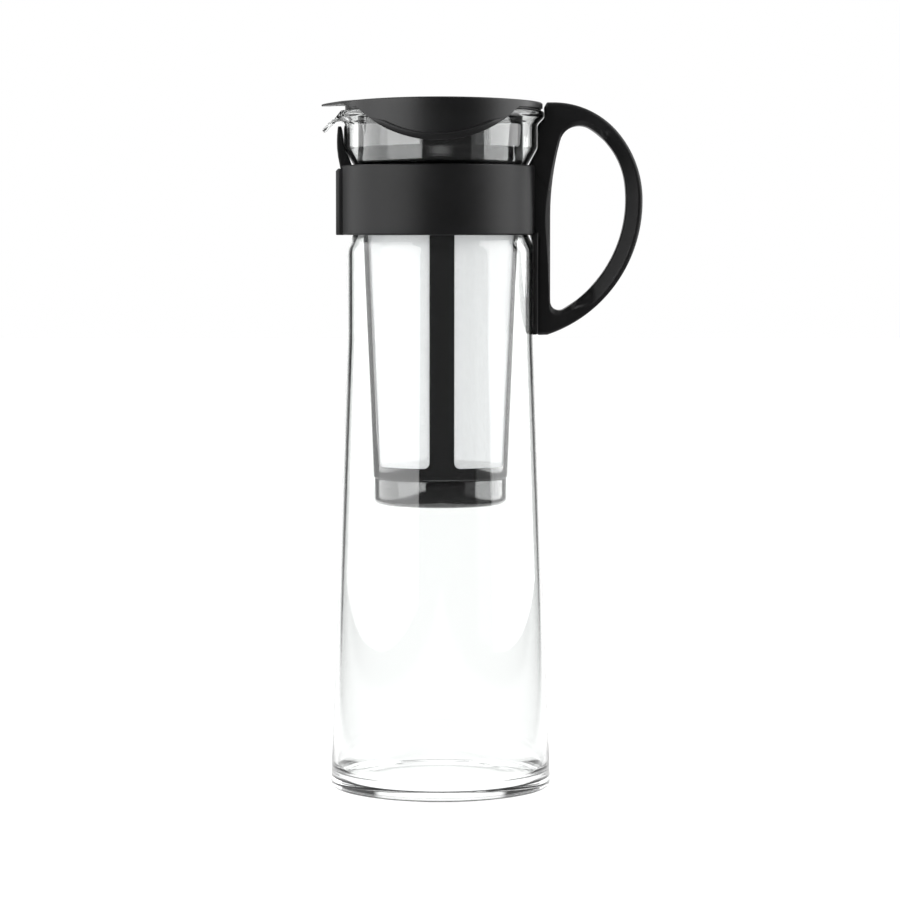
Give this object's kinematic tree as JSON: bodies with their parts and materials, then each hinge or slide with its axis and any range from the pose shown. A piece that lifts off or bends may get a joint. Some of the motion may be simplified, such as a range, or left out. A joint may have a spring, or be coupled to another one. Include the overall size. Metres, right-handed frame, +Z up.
{
  "type": "cold brew coffee maker",
  "caption": "Tall glass jug with a clip-on black band and D-shaped handle, a hanging fine-mesh strainer and a flat lid with a beak over the pouring lip.",
  "frame": {"origin": "on the table plane, on the jug's axis", "axes": "+Z up along the jug's axis, +X towards the handle, -X towards the pouring lip"},
  "size_m": [0.1395, 0.097, 0.2988],
  "materials": {
    "clear_glass": "clear, polished heat-resistant glass",
    "band_plastic": "satin black polypropylene",
    "clip_plastic": "satin black polypropylene",
    "lid_plastic": "satin black polypropylene",
    "strainer_plastic": "smooth black polypropylene",
    "cap_plastic": "smooth black polypropylene",
    "mesh": "fine white polyester mesh"
  },
  "bodies": {
    "jug": {"glass_jug": "clear_glass", "handle_band": "band_plastic"},
    "clip": {"band_clip": "clip_plastic"},
    "strainer": {"strainer_frame": "strainer_plastic", "mesh_panel_1": "mesh", "mesh_panel_2": "mesh", "mesh_panel_3": "mesh", "mesh_panel_4": "mesh"},
    "cap": {"strainer_cap": "cap_plastic"},
    "lid": {"lid": "lid_plastic"}
  },
  "joints": [
    {"name": "strainer_lift", "type": "slide", "parent": "jug", "child": "strainer", "axis": [0, 0, 1], "range_m": [0, 0.172]},
    {"name": "lid_lift", "type": "slide", "parent": "strainer", "child": "lid", "axis": [0, 0, 1], "range_m": [0, 0.03]},
    {"name": "cap_pull", "type": "slide", "parent": "strainer", "child": "cap", "axis": [0, 0, -1], "range_m": [0, 0.012]},
    {"name": "clip_slide", "type": "slide", "parent": "jug", "child": "clip", "axis": [0, 0, -1], "range_m": [0, 0.03]}
  ]
}
